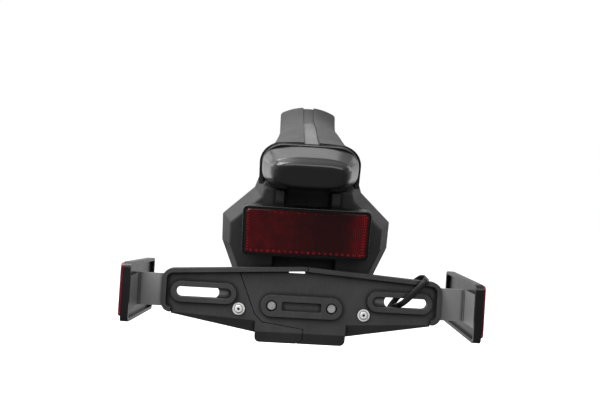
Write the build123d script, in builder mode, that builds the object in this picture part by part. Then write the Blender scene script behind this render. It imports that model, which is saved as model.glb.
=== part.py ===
# Motorbike tail tidy: a moulded tail arm with a lamp pod, a flared carrier with a rear reflector, and a
# two-piece number-plate bracket whose steel straps hold two side reflectors.
# Millimetres. +X is the right-hand side seen from behind, +Y points forwards, +Z is up. The origin is the
# midpoint between the two plate slots, on the front face of the plate bracket.
from build123d import *
import os
from math import cos, radians, sin, tan

# Plate bracket: a flat panel with a raised lip along its top and ends
panel_thickness = 3.0
panel_peak = 23.1
panel_end_top = 16.6
panel_half_width = 103.7
panel_end_bottom = -15.2
panel_inner_bottom = -19.0
panel_top_corner = 8.0
panel_bottom_corner = 7.0
lip_width = 3.3
lip_height = 4.0
lip_end = -7.0

# Chin: the face that turns down and forwards below the panel
chin_inner_bottom = -29.0
chin_end_drop = 1.2
chin_depth = 7.0

# Centre block at the bottom of the bracket
block_half_width = 33.9
block_corner = 4.0
block_crease = -27.0
block_bottom = -35.8
block_depth = 5.0

# Plate slots and their raised rims
slot_spacing = 146.0
slot_length = 41.0
slot_width = 7.6
slot_rim_width = 3.8
slot_rim_height = 2.5

# Centre pad with its two bolts and its window
centre_bolt_spacing = 44.6
centre_bolt_z = -7.1
pad_length = 60.7
pad_width = 16.0
pad_height = 2.6
counterbore_diameter = 8.2
counterbore_depth = 3.4
window_length = 29.3
window_width = 6.9
window_depth = 2.0

# Seam between the two halves, from the lip down to the bottom edge
seam_gap = 0.5
seam_lip_x = 3.0
seam_lip_z = 19.7
seam_top_x = -47.5
seam_top_z = 16.6
seam_knee_x = -34.9
seam_knee_z = -14.1
seam_shelf_x = -28.8
seam_shelf_z = -20.1
seam_tab_x = 1.8
seam_tab_z = -24.0
seam_foot_x = -2.9
slit_left = -10.6
slit_right = 1.3
slit_bottom = 17.6
slit_height = 2.2

# Under-lap tongue of the left half, clamped behind the right half
tongue_left = -49.0
tongue_right = 32.0
tongue_top = 15.0
tongue_bottom = -15.0
tongue_step_x = -14.0
tongue_thickness = 3.0
tongue_foot = -26.0
tongue_foot_left = -33.0
tongue_foot_right = 8.0
backing_width = 12.0
backing_thickness = 2.0

# Steel straps and their rivets
strap_thickness = 2.0
strap_top = 12.1
strap_bottom = -12.0
strap_inner = 50.5
strap_bend_radius = 3.0
flange_clearance = 1.7
strap_slot_inner = 62.0
strap_slot_outer = 96.0
strap_slot_width = 9.2
rivet_x = 46.6
rivet_z = -10.7
rivet_ear_radius = 5.4
rivet_flange_diameter = 9.0
rivet_flange_height = 1.0
rivet_boss_diameter = 5.6
rivet_boss_height = 2.2
rivet_shank_diameter = 4.8
rivet_tail_diameter = 7.0
rivet_tail_height = 2.4
rivet_hole_diameter = 2.2

# Side reflectors
side_base_x = 124.3
side_base_length = 89.0
side_base_height = 42.0
side_base_thickness = 3.0
side_centre_y = 16.0
side_centre_z = -1.0
side_rim_width = 2.4
side_rim_height = 2.5
side_lens_length = 87.0
side_lens_height = 37.5
side_lens_thickness = 2.0
side_lens_rise = 1.5
left_pitch = -3.0
right_pitch = 0.5
reflector_corner = 4.0

# Rear reflector
rear_base_length = 93.2
rear_base_height = 38.0
rear_base_thickness = 7.0
rear_border = 2.4
rear_groove = 0.7
rear_lens_thickness = 3.2
rear_lens_proud = 0.4
rear_centre = 1.5

# Reflector studs, M5
stud_diameter = 5.0
stud_clearance = 0.5
stud_embed = 2.0

# Flap of the carrier: a six-sided tray on a tilted plane, with bevelled sides
flap_y = -2.0
flap_z = 50.0
flap_tilt = 16.0
flap_depth = 12.0
flap_bevel = 7.0
flap_wall = 3.0
flap_round = 2.5
flap_top = 38.0
flap_top_half_width = 36.5
flap_shoulder = 28.3
flap_shoulder_half_width = 39.8
flap_upper_corner = 6.4
flap_lower_corner = -14.4
flap_half_width = 63.0
flap_foot = -46.0
flap_foot_half_width = 51.4

# Channel, posts and reflector boss in the flap
channel_half_width = 17.5
channel_foot_half_width = 24.0
channel_top = 33.0
channel_bend = 8.0
channel_flare_end = -24.0
channel_depth = 8.5
post_width = 6.0
post_bottom = 17.5
post_top = 30.5
post_height = 4.0
reflector_boss_diameter = 14.0
notch_half_width = 12.3
notch_top = -33.5

# Carrier legs behind the plate bracket
leg_width = 19.0
leg_thickness = 6.0
leg_bottom = -15.0
leg_shoulder = 6.5

# Lamp seat, tilted further than the flap
lamp_y = -17.0
lamp_z = 97.0
lamp_tilt = 25.0
seat_half_width = 20.5
seat_top = 12.5
seat_bottom = -17.0
seat_thickness = 4.5

# Lamp: gasket, housing, lens, board and chips
gasket_length = 70.5
gasket_height = 34.5
gasket_thickness = 1.5
housing_length = 70.0
housing_height = 34.0
housing_thickness = 2.5
lens_length = 69.0
lens_height = 33.0
lens_depth = 18.5
lens_wall = 2.5
lens_face_length = 57.5
lens_face_height = 23.0
lens_top_fall = 1.4
lens_foot_taper = 0.75
visor_depth = 24.5
visor_sunk = 3.0
visor_length = 56.0
visor_height = 21.4
visor_rise = 4.3
visor_corner = 9.5
visor_draft = 14.0
visor_edge = 3.8
visor_root = 0.6
board_length = 46.0
board_width = 14.0
board_thickness = 1.6
board_lift = 6.0
board_post_diameter = 5.0
board_post_spacing = 36.0
chip_size = 3.5
chip_height = 1.2
chip_pitch = 7.0
chip_columns = 4
lamp_stud_spacing = 19.6
lamp_stud_rise = -6.0
lamp_stud_length = 14.0
grommet_rise = -9.4
grommet_bore = 4.5
grommet_sleeve_diameter = 9.0
grommet_flange_diameter = 11.0
grommet_flange_height = 2.0

# Tail arm: an inverted U from the lamp's mouth up to the bike
arm_wall = 3.0
arm_slope = 14.5
arm_side_height = 26.0
rim_half_width = 36.5
rim_height = 36.5
rim_drop = 2.5
rim_corner = 16.0
rim_side_height = 34.0
throat_y = -12.0
throat_half_width = 31.0
throat_drop = 3.5
throat_corner = 12.0
throat_side_height = 26.0
neck_y = 15.0
neck_half_width = 26.6
neck_drop = 4.5
neck_corner = 7.0
waist_y = 60.0
waist_half_width = 24.0
waist_drop = 5.5
bend_y = 103.0
bend_half_width = 24.6
bend_drop = 7.0
bend_tilt = 22.0
tip_y = 118.0
tip_z = 157.8
tip_half_width = 25.2
tip_drop = 7.5
tip_tilt = 36.0
arm_corner = 4.5
groove_depth = 1.2
groove_mouth_width = 11.4
groove_tip_width = 8.8

# Tail bolts: four M6 inserts in bosses under the arm
tail_bolt_y = 64.0
tail_bolt_z = 118.0
tail_bolt_spacing_x = 26.0
tail_bolt_spacing_y = 44.0
insert_bore = 5.0
insert_diameter = 8.0
insert_length = 7.0
boss_wall = 2.5

# Shelf of the carrier, screwed up into the arm
shelf_z = 104.0
shelf_thickness = 4.0
shelf_half_width = 18.0
shelf_end_y = 20.0
shelf_screw_y = 10.0
shelf_screw_spacing = 18.0
screw_diameter = 5.0
screw_length = 16.0
screw_head_diameter = 9.5
screw_head_height = 3.5
rib_thickness = 3.0
rib_foot_z = 70.0

# Common fasteners
nut_across_flats = 8.0
nut_height = 4.0
washer_diameter = 12.0
washer_thickness = 1.0
bolt_head_diameter = 7.6
bolt_head_height = 2.6
bolt_end = 3.0

SIDES = (-1, 1)


def tilted(y, z, tilt):
    """Plane across the part that faces backwards and down by a tilt, its second axis upwards."""
    return Plane(origin=(0, y, z), x_dir=(1, 0, 0), z_dir=(0, -cos(radians(tilt)), -sin(radians(tilt))))


def mirrored(points):
    """Points of the right-hand half, followed by their mirror images in reverse order."""
    return points + [(-x, y) for x, y in reversed(points)]


def in_row(plane, rise, depth):
    """Y and Z of a point on the part's middle plane, from a rise and a depth on a tilted plane."""
    point = plane.from_local_coords((0, rise, -depth))
    return (point.Y, point.Z)


plate_plane = tilted(0, 0, 0)
flap_plane = tilted(flap_y, flap_z, flap_tilt)
lamp_plane = tilted(lamp_y, lamp_z, lamp_tilt)
tongue_back = panel_thickness + tongue_thickness
leg_back = tongue_back + leg_thickness
flange_reach = side_base_length / 2 - side_centre_y - side_rim_width - flange_clearance

# Tail arm sections: plane at the crown, half width, crown drop, corner radius, side height
rim_y, rim_z = in_row(lamp_plane, rim_height / 2, 0)


def crown_z(y):
    """Height of the arm's crown on its straight run."""
    return rim_z + (y - rim_y) * tan(radians(arm_slope))


rim = (tilted(rim_y, rim_z, lamp_tilt), rim_half_width, rim_drop, rim_corner, rim_side_height)
throat_plane = tilted(throat_y, crown_z(throat_y), arm_slope)
throat = (throat_plane, throat_half_width, throat_drop, throat_corner, throat_side_height)
neck_plane = tilted(neck_y, crown_z(neck_y), arm_slope)
neck = (neck_plane, neck_half_width, neck_drop, neck_corner, arm_side_height)
waist_plane = tilted(waist_y, crown_z(waist_y), arm_slope)
waist = (waist_plane, waist_half_width, waist_drop, arm_corner, arm_side_height)
bend = (tilted(bend_y, crown_z(bend_y), bend_tilt), bend_half_width, bend_drop, arm_corner, arm_side_height)
tip = (tilted(tip_y, tip_z, tip_tilt), tip_half_width, tip_drop, arm_corner, arm_side_height)


def arm_outline(plane, half_width, drop, corner, height, inset):
    """Inverted-U outline with its crown at the plane's origin; an inset gives the hollow."""
    half = half_width - inset
    foot = -height - inset
    shoulder = -drop - inset
    with BuildSketch(plane) as outline:
        with BuildLine():
            Line((-half, foot), (-half, shoulder))
            ThreePointArc((-half, shoulder), (0, -inset), (half, shoulder))
            Line((half, shoulder), (half, foot))
            Line((half, foot), (-half, foot))
        make_face()
        fillet(outline.vertices().sort_by(Axis.Y)[-2:], corner - inset)
    return outline.sketch


with BuildPart() as arm_core:
    loft([arm_outline(*rim, 0), arm_outline(*throat, 0)], ruled=True)
    loft([arm_outline(*section, 0) for section in (throat, neck, waist, bend, tip)])

with BuildPart() as arm_hollow:
    loft([arm_outline(*rim, arm_wall), arm_outline(*throat, arm_wall)], ruled=True)
    loft([arm_outline(*section, arm_wall) for section in (throat, neck, waist, bend, tip)])

with BuildPart() as arm_bosses:
    with BuildSketch(Plane.XY.offset(tail_bolt_z)):
        with Locations((0, tail_bolt_y)):
            with GridLocations(tail_bolt_spacing_x, tail_bolt_spacing_y, 2, 2):
                Circle(insert_diameter / 2 + boss_wall)
    extrude(amount=tip_z - tail_bolt_z)
    with BuildSketch(Plane.XY.offset(shelf_z)):
        with Locations((0, shelf_screw_y)):
            with GridLocations(shelf_screw_spacing, 0, 2, 1):
                Circle(screw_diameter / 2 + boss_wall)
    extrude(amount=tip_z - shelf_z)
    add(arm_core.part, mode=Mode.INTERSECT)

with BuildPart() as arm_groove:
    with BuildSketch(Plane.XY):
        with BuildLine():
            Polyline(
                (-groove_mouth_width / 2, rim_y - rim_height),
                (groove_mouth_width / 2, rim_y - rim_height),
                (groove_tip_width / 2, tip_y + rim_height),
                (-groove_tip_width / 2, tip_y + rim_height),
                close=True,
            )
        make_face()
    extrude(amount=2 * tip_z)
    with Locations((0, 0, -groove_depth)):
        add(arm_core.part, mode=Mode.SUBTRACT)

with BuildPart() as tail_arm:
    add(arm_core.part)
    add(arm_hollow.part, mode=Mode.SUBTRACT)
    add(arm_bosses.part)
    add(arm_groove.part, mode=Mode.SUBTRACT)
    with BuildSketch(Plane.XY.offset(tail_bolt_z)):
        with Locations((0, tail_bolt_y)):
            with GridLocations(tail_bolt_spacing_x, tail_bolt_spacing_y, 2, 2):
                Circle(insert_diameter / 2)
    extrude(amount=insert_length, mode=Mode.SUBTRACT)
    with BuildSketch(Plane.XY.offset(shelf_z)):
        with Locations((0, shelf_screw_y)):
            with GridLocations(shelf_screw_spacing, 0, 2, 1):
                Circle(screw_diameter / 2)
    extrude(amount=screw_length - shelf_thickness, mode=Mode.SUBTRACT)

with BuildPart() as tail_inserts:
    with BuildSketch(Plane.XY.offset(tail_bolt_z)):
        with Locations((0, tail_bolt_y)):
            with GridLocations(tail_bolt_spacing_x, tail_bolt_spacing_y, 2, 2):
                Circle(insert_diameter / 2)
                Circle(insert_bore / 2, mode=Mode.SUBTRACT)
    extrude(amount=insert_length)

# Plate carrier
flap_right = [
    (flap_top_half_width, flap_top),
    (flap_shoulder_half_width, flap_shoulder),
    (flap_half_width, flap_upper_corner),
    (flap_half_width, flap_lower_corner),
    (flap_foot_half_width, flap_foot),
]
channel_right = [
    (channel_half_width, channel_top),
    (channel_half_width, channel_bend),
    (channel_foot_half_width, channel_flare_end),
    (channel_foot_half_width, 2 * flap_foot),
]


def flap_outline(depth, inset):
    """Outline of the flap at a depth behind its face, drawn in by an inset."""
    with BuildSketch(flap_plane.offset(-depth)) as outline:
        Polygon(*mirrored(flap_right), align=None)
        offset(amount=-inset, kind=Kind.INTERSECTION)
    return outline.sketch


with BuildPart() as flap_core:
    with BuildSketch(flap_plane.offset(-flap_depth)) as flap_back:
        Polygon(*mirrored(flap_right), align=None)
    loft([flap_back.sketch, flap_outline(0, flap_bevel)], ruled=True)
    back_edges = flap_core.faces().sort_by(Axis(flap_plane.origin, flap_plane.z_dir))[0].edges()
    fillet(flap_core.edges() - back_edges, flap_round)

with BuildPart() as flap_hollow:
    hollow_inset = flap_bevel * (1 - flap_wall / flap_depth) + flap_wall
    loft([flap_outline(flap_depth, flap_wall), flap_outline(flap_wall, hollow_inset)], ruled=True)
    with BuildSketch(flap_plane):
        Polygon(*mirrored(channel_right), align=None)
        offset(amount=flap_wall, kind=Kind.INTERSECTION)
    extrude(amount=-channel_depth - flap_wall, mode=Mode.SUBTRACT)

with BuildPart() as plate_carrier:
    add(flap_core.part)
    add(flap_hollow.part, mode=Mode.SUBTRACT)
    with BuildSketch(flap_plane):
        Polygon(*mirrored(channel_right), align=None)
    extrude(amount=-channel_depth, mode=Mode.SUBTRACT)
    # Posts beside the channel
    with BuildSketch(flap_plane.offset(-flap_wall)):
        for side in SIDES:
            with Locations((side * (channel_half_width + post_width / 2), (post_bottom + post_top) / 2)):
                Rectangle(post_width, post_top - post_bottom)
    extrude(amount=flap_wall + post_height)
    # Boss for the rear reflector's stud
    with BuildSketch(flap_plane.offset(-channel_depth - flap_wall)):
        with Locations((0, rear_centre)):
            Circle(reflector_boss_diameter / 2)
    extrude(amount=channel_depth + flap_wall + post_height)
    with BuildSketch(flap_plane.offset(post_height)):
        with Locations((0, rear_centre)):
            Circle((stud_diameter + stud_clearance) / 2)
    extrude(amount=-channel_depth - flap_wall - post_height, mode=Mode.SUBTRACT)
    # Notch at the foot between the legs
    with BuildSketch(flap_plane):
        with Locations((0, notch_top)):
            Rectangle(2 * notch_half_width, 2 * flap_depth, align=(Align.CENTER, Align.MAX))
    extrude(amount=-2 * flap_depth, mode=Mode.SUBTRACT)
    # Legs down behind the bracket
    foot_front = in_row(flap_plane, flap_foot + flap_bevel + flap_wall, flap_wall)
    foot_back = in_row(flap_plane, flap_foot + flap_wall, flap_depth)
    foot_under = in_row(flap_plane, flap_foot, flap_depth)
    for side in SIDES:
        with BuildSketch(Plane.YZ.offset(side * centre_bolt_spacing / 2 - leg_width / 2)):
            Polygon(
                (tongue_back, leg_bottom),
                (tongue_back, leg_shoulder),
                foot_front,
                foot_back,
                foot_under,
                (leg_back, leg_shoulder - leg_thickness),
                (leg_back, leg_bottom),
                align=None,
            )
        extrude(amount=leg_width)
    with BuildSketch(plate_plane):
        with Locations((0, centre_bolt_z)):
            with GridLocations(centre_bolt_spacing, 0, 2, 1):
                Circle((stud_diameter + stud_clearance) / 2)
    extrude(amount=-leg_back, mode=Mode.SUBTRACT)
    # Lamp seat
    with BuildSketch(lamp_plane):
        with Locations((0, (seat_top + seat_bottom) / 2)):
            Rectangle(2 * seat_half_width, seat_top - seat_bottom)
    extrude(amount=-seat_thickness)
    # Shelf under the arm, with two ribs down to the channel's floor
    seat_y = in_row(lamp_plane, shelf_z - lamp_z, seat_thickness / 2)[0]
    with BuildSketch(Plane.XY.offset(shelf_z)):
        with Locations((0, seat_y)):
            Rectangle(2 * shelf_half_width, shelf_end_y - seat_y, align=(Align.CENTER, Align.MIN))
    extrude(amount=-shelf_thickness)
    rib_top = shelf_z - shelf_thickness / 2
    floor_y, floor_z = in_row(flap_plane, rib_foot_z - flap_z, channel_depth + flap_wall / 2)
    for side in SIDES:
        rib_x = side * (shelf_half_width - rib_thickness / 2)
        with BuildSketch(Plane.YZ.offset(rib_x - rib_thickness / 2)):
            Polygon((seat_y, rib_top), (shelf_end_y, rib_top), (floor_y, floor_z), align=None)
        extrude(amount=rib_thickness)
    with BuildSketch(Plane.XY.offset(shelf_z)):
        with Locations((0, shelf_screw_y)):
            with GridLocations(shelf_screw_spacing, 0, 2, 1):
                Circle((screw_diameter + stud_clearance) / 2)
    extrude(amount=-shelf_thickness, mode=Mode.SUBTRACT)
    # Stud holes and grommet hole through the seat
    with BuildSketch(lamp_plane):
        with Locations((0, lamp_stud_rise)):
            with GridLocations(lamp_stud_spacing, 0, 2, 1):
                Circle((stud_diameter + stud_clearance) / 2)
        with Locations((0, grommet_rise)):
            Circle(grommet_sleeve_diameter / 2)
    extrude(amount=-seat_thickness, mode=Mode.SUBTRACT)

with BuildPart() as carrier_screws:
    with BuildSketch(Plane.XY.offset(shelf_z - shelf_thickness)):
        with Locations((0, shelf_screw_y)):
            with GridLocations(shelf_screw_spacing, 0, 2, 1):
                Circle(screw_head_diameter / 2)
    extrude(amount=-screw_head_height)
    with BuildSketch(Plane.XY.offset(shelf_z - shelf_thickness)):
        with Locations((0, shelf_screw_y)):
            with GridLocations(shelf_screw_spacing, 0, 2, 1):
                Circle(screw_diameter / 2)
    extrude(amount=screw_length)
    with BuildSketch(Plane.XY.offset(shelf_z - shelf_thickness - screw_head_height)):
        with Locations((0, shelf_screw_y)):
            with GridLocations(shelf_screw_spacing, 0, 2, 1):
                RegularPolygon(screw_diameter / 2, 6)
    extrude(amount=screw_head_height / 2, mode=Mode.SUBTRACT)

# Lamp
gasket_front = gasket_thickness
housing_front = gasket_front + housing_thickness


def pill(length, height):
    """Outline with fully rounded ends."""
    return RectangleRounded(length, height, 0.47 * height)


with BuildPart() as lamp_gasket:
    with BuildSketch(lamp_plane):
        pill(gasket_length, gasket_height)
        with Locations((0, lamp_stud_rise)):
            with GridLocations(lamp_stud_spacing, 0, 2, 1):
                Circle(stud_diameter / 2, mode=Mode.SUBTRACT)
        with Locations((0, grommet_rise)):
            Circle(grommet_sleeve_diameter / 2, mode=Mode.SUBTRACT)
    extrude(amount=gasket_thickness)

with BuildPart() as lamp_housing:
    with BuildSketch(lamp_plane.offset(gasket_front)):
        pill(housing_length, housing_height)
        with Locations((0, lamp_stud_rise)):
            with GridLocations(lamp_stud_spacing, 0, 2, 1):
                Circle(stud_diameter / 2, mode=Mode.SUBTRACT)
        with Locations((0, grommet_rise)):
            Circle(grommet_bore / 2, mode=Mode.SUBTRACT)
    extrude(amount=housing_thickness)
    with BuildSketch(lamp_plane.offset(housing_front)):
        with GridLocations(board_post_spacing, 0, 2, 1):
            Circle(board_post_diameter / 2)
    extrude(amount=board_lift)


def lens_section(share, inset):
    """Pod outline at a share of its depth: straight along the top, drawn in below and at the ends."""
    draw = share**4
    length = lens_length + (lens_face_length - lens_length) * draw
    taper = lens_foot_taper * share + (1 - lens_foot_taper) * draw
    height = lens_height + (lens_face_height - lens_height) * taper
    middle = lens_height / 2 - lens_top_fall * share - height / 2
    front = housing_front + (lens_depth - inset) * share
    with BuildSketch(lamp_plane.offset(front)) as outline:
        with Locations((0, middle)):
            RectangleRounded(length - 2 * inset, height - 2 * inset, 0.45 * (height - 2 * inset))
    return outline.sketch


def visor(inset):
    """Block that stands out from the pod's face and carries the window, rounded at its front."""
    with BuildPart() as block:
        with BuildSketch(lamp_plane.offset(housing_front + lens_depth - visor_sunk - inset)):
            with Locations((0, visor_rise)):
                RectangleRounded(visor_length - 2 * inset, visor_height - 2 * inset, visor_corner - inset)
        extrude(amount=visor_depth - lens_depth + visor_sunk, taper=visor_draft)
        front = block.faces().sort_by(Axis(lamp_plane.origin, lamp_plane.z_dir))[-1]
        fillet(front.edges(), visor_edge - inset / 2)
    return block.part


with BuildPart() as lamp_lens:
    loft([lens_section(share, 0) for share in (0, 0.4, 0.75, 1)])
    add(visor(0))
    fillet(lamp_lens.edges(Select.NEW), visor_root)
    loft([lens_section(share, lens_wall) for share in (0, 0.4, 0.75, 1)], mode=Mode.SUBTRACT)
    add(visor(lens_wall), mode=Mode.SUBTRACT)

board_back = housing_front + board_lift
board_front = board_back + board_thickness

with BuildPart() as lamp_board:
    with BuildSketch(lamp_plane.offset(board_back)):
        Rectangle(board_length, board_width)
    extrude(amount=board_thickness)

with BuildPart() as lamp_chips:
    with BuildSketch(lamp_plane.offset(board_front)):
        with GridLocations(chip_pitch, chip_pitch, chip_columns, 2):
            Rectangle(chip_size, chip_size)
    extrude(amount=chip_height)

with BuildPart() as lamp_studs:
    with BuildSketch(lamp_plane.offset(housing_front)):
        with Locations((0, lamp_stud_rise)):
            with GridLocations(lamp_stud_spacing, 0, 2, 1):
                Circle(stud_diameter / 2)
    extrude(amount=-lamp_stud_length)

with BuildPart() as lamp_nuts:
    with BuildSketch(lamp_plane.offset(-seat_thickness)):
        with Locations((0, lamp_stud_rise)):
            with GridLocations(lamp_stud_spacing, 0, 2, 1):
                RegularPolygon(nut_across_flats / 2, 6, major_radius=False)
                Circle(stud_diameter / 2, mode=Mode.SUBTRACT)
    extrude(amount=-nut_height)

with BuildPart() as lamp_grommet:
    with BuildSketch(lamp_plane.offset(gasket_front)):
        with Locations((0, grommet_rise)):
            Circle(grommet_sleeve_diameter / 2)
            Circle(grommet_bore / 2, mode=Mode.SUBTRACT)
    extrude(amount=-gasket_front - seat_thickness)
    with BuildSketch(lamp_plane.offset(-seat_thickness)):
        with Locations((0, grommet_rise)):
            Circle(grommet_flange_diameter / 2)
            Circle(grommet_bore / 2, mode=Mode.SUBTRACT)
    extrude(amount=-grommet_flange_height)

# Rear reflector
rear_back = post_height
rear_front = rear_back + rear_base_thickness
rear_lens_length = rear_base_length - 2 * rear_border
rear_lens_height = rear_base_height - 2 * rear_border

with BuildPart() as rear_reflector_base:
    with BuildSketch(flap_plane.offset(rear_back)):
        with Locations((0, rear_centre)):
            RectangleRounded(rear_base_length, rear_base_height, reflector_corner)
    extrude(amount=rear_base_thickness)
    fillet(rear_reflector_base.faces().sort_by(Axis.Y)[0].edges(), rear_border / 3)
    with BuildSketch(flap_plane.offset(rear_front)):
        with Locations((0, rear_centre)):
            RectangleRounded(rear_lens_length, rear_lens_height, reflector_corner - rear_border / 2)
    extrude(amount=rear_lens_proud - rear_lens_thickness, mode=Mode.SUBTRACT)
    # Groove round the middle of the frame
    groove_length = rear_base_length - rear_border
    groove_height = rear_base_height - rear_border
    with BuildSketch(flap_plane.offset(rear_front)):
        with Locations((0, rear_centre)):
            outer_corner = reflector_corner - (rear_border - rear_groove) / 2
            RectangleRounded(groove_length + rear_groove, groove_height + rear_groove, outer_corner)
            inner_corner = reflector_corner - (rear_border + rear_groove) / 2
            inner = (groove_length - rear_groove, groove_height - rear_groove)
            RectangleRounded(*inner, inner_corner, mode=Mode.SUBTRACT)
    extrude(amount=-rear_groove, mode=Mode.SUBTRACT)
    with BuildSketch(flap_plane.offset(rear_back)):
        with Locations((0, rear_centre)):
            Circle(stud_diameter / 2)
    extrude(amount=stud_embed, mode=Mode.SUBTRACT)

with BuildPart() as rear_reflector_lens:
    with BuildSketch(flap_plane.offset(rear_front + rear_lens_proud)):
        with Locations((0, rear_centre)):
            RectangleRounded(rear_lens_length, rear_lens_height, reflector_corner - rear_border / 2)
    extrude(amount=-rear_lens_thickness)

with BuildPart() as rear_reflector_stud:
    with BuildSketch(flap_plane.offset(rear_back + stud_embed)):
        with Locations((0, rear_centre)):
            Circle(stud_diameter / 2)
    extrude(amount=-stud_embed - post_height - channel_depth - flap_wall - nut_height - bolt_end)

with BuildPart() as rear_reflector_nut:
    with BuildSketch(flap_plane.offset(-channel_depth - flap_wall)):
        with Locations((0, rear_centre)):
            RegularPolygon(nut_across_flats / 2, 6, major_radius=False)
            Circle(stud_diameter / 2, mode=Mode.SUBTRACT)
    extrude(amount=-nut_height)

# Plate bracket, made whole and then parted at the seam
panel_upper_right = [
    (panel_half_width, panel_end_top),
    (panel_half_width, panel_end_bottom),
]
panel_right = panel_upper_right + [
    (block_half_width, panel_inner_bottom),
    (block_half_width, block_crease),
]


def panel_outline(points):
    """Outline of the panel with its end corners rounded."""
    with BuildSketch() as outline:
        Polygon((0, panel_peak), *mirrored(points), align=None)
        ends = outline.vertices().filter_by(lambda corner: abs(corner.X) > 2 * block_half_width)
        fillet(ends.filter_by(lambda corner: corner.Y > 0), panel_top_corner)
        ends = outline.vertices().filter_by(lambda corner: abs(corner.X) > 2 * block_half_width)
        fillet(ends.filter_by(lambda corner: corner.Y <= panel_end_bottom), panel_bottom_corner)
    return outline.sketch


with BuildPart() as block_chin:
    with BuildSketch(Plane.YZ.offset(-block_half_width)):
        Polygon(
            (0, block_crease),
            (block_depth, block_bottom),
            (block_depth + panel_thickness, block_bottom),
            (panel_thickness, block_crease),
            align=None,
        )
    extrude(amount=2 * block_half_width)
    with BuildSketch(plate_plane) as rounded:
        with Locations((0, block_bottom)):
            Rectangle(2 * block_half_width, -2 * block_bottom, align=(Align.CENTER, Align.MIN))
        fillet(rounded.vertices().sort_by(Axis.Y)[:2], block_corner)
    extrude(amount=-panel_half_width, mode=Mode.INTERSECT)

with BuildPart() as bracket:
    # Panel
    with BuildSketch(plate_plane):
        add(panel_outline(panel_right))
    extrude(amount=-panel_thickness)
    # Lip along the top and the ends
    with BuildSketch(plate_plane):
        add(panel_outline(panel_upper_right))
        add(offset(panel_outline(panel_upper_right), -lip_width, mode=Mode.PRIVATE), mode=Mode.SUBTRACT)
        with Locations((0, lip_end)):
            below = (Align.CENTER, Align.MAX)
            between = 2 * (panel_half_width - panel_bottom_corner)
            Rectangle(between, panel_half_width, align=below, mode=Mode.SUBTRACT)
    extrude(amount=lip_height)
    # Raised rims and slots
    with BuildSketch(plate_plane):
        with GridLocations(slot_spacing, 0, 2, 1):
            SlotOverall(slot_length + 2 * slot_rim_width, slot_width + 2 * slot_rim_width)
    extrude(amount=slot_rim_height)
    # Centre pad, counterbores and window
    with BuildSketch(plate_plane):
        with Locations((0, centre_bolt_z)):
            SlotOverall(pad_length, pad_width)
    extrude(amount=pad_height)
    with BuildSketch(plate_plane.offset(pad_height)):
        with Locations((0, centre_bolt_z)):
            with GridLocations(centre_bolt_spacing, 0, 2, 1):
                Circle(counterbore_diameter / 2)
    extrude(amount=-counterbore_depth, mode=Mode.SUBTRACT)
    with BuildSketch(plate_plane.offset(pad_height)):
        with Locations((0, centre_bolt_z)):
            RectangleRounded(window_length, window_width, window_width / 5)
    extrude(amount=-window_depth, mode=Mode.SUBTRACT)
    # Chins below the panel and below the centre block
    chin_end = panel_half_width - panel_bottom_corner
    fall = (panel_inner_bottom - panel_end_bottom) / (panel_half_width - block_half_width)
    chin_end_bottom = panel_end_bottom + fall * (panel_half_width - chin_end)
    for side in SIDES:
        fold_end = (side * chin_end, 0, chin_end_bottom)
        fold = (side * block_half_width, 0, panel_inner_bottom)
        foot = (side * block_half_width, chin_depth, chin_inner_bottom)
        end_depth = chin_depth * chin_end_drop / (panel_inner_bottom - chin_inner_bottom)
        foot_end = (side * chin_end, end_depth, chin_end_bottom - chin_end_drop)
        chin = Face(Wire.make_polygon([fold_end, fold, foot, foot_end]))
        extrude(chin, amount=panel_thickness, dir=(0, 1, 0))
    add(block_chin.part)
    # Through holes: plate slots, centre bolts and rivets
    with BuildSketch(plate_plane):
        with GridLocations(slot_spacing, 0, 2, 1):
            SlotOverall(slot_length, slot_width)
        with Locations((0, centre_bolt_z)):
            with GridLocations(centre_bolt_spacing, 0, 2, 1):
                Circle((stud_diameter + stud_clearance) / 2)
        with Locations((0, rivet_z)):
            with GridLocations(2 * rivet_x, 0, 2, 1):
                Circle(rivet_shank_diameter / 2)
    extrude(amount=panel_half_width, both=True, mode=Mode.SUBTRACT)

seam_points = [
    (-2 * panel_half_width, 2 * panel_peak),
    (seam_lip_x, 2 * panel_peak),
    (seam_lip_x, seam_lip_z),
    (seam_top_x, seam_top_z),
    (seam_knee_x, seam_knee_z),
    (seam_shelf_x, seam_shelf_z),
    (seam_tab_x, seam_tab_z),
    (seam_tab_x, block_bottom + panel_thickness),
    (seam_foot_x, block_bottom),
    (seam_foot_x, 2 * block_bottom),
    (-2 * panel_half_width, 2 * block_bottom),
]

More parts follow.
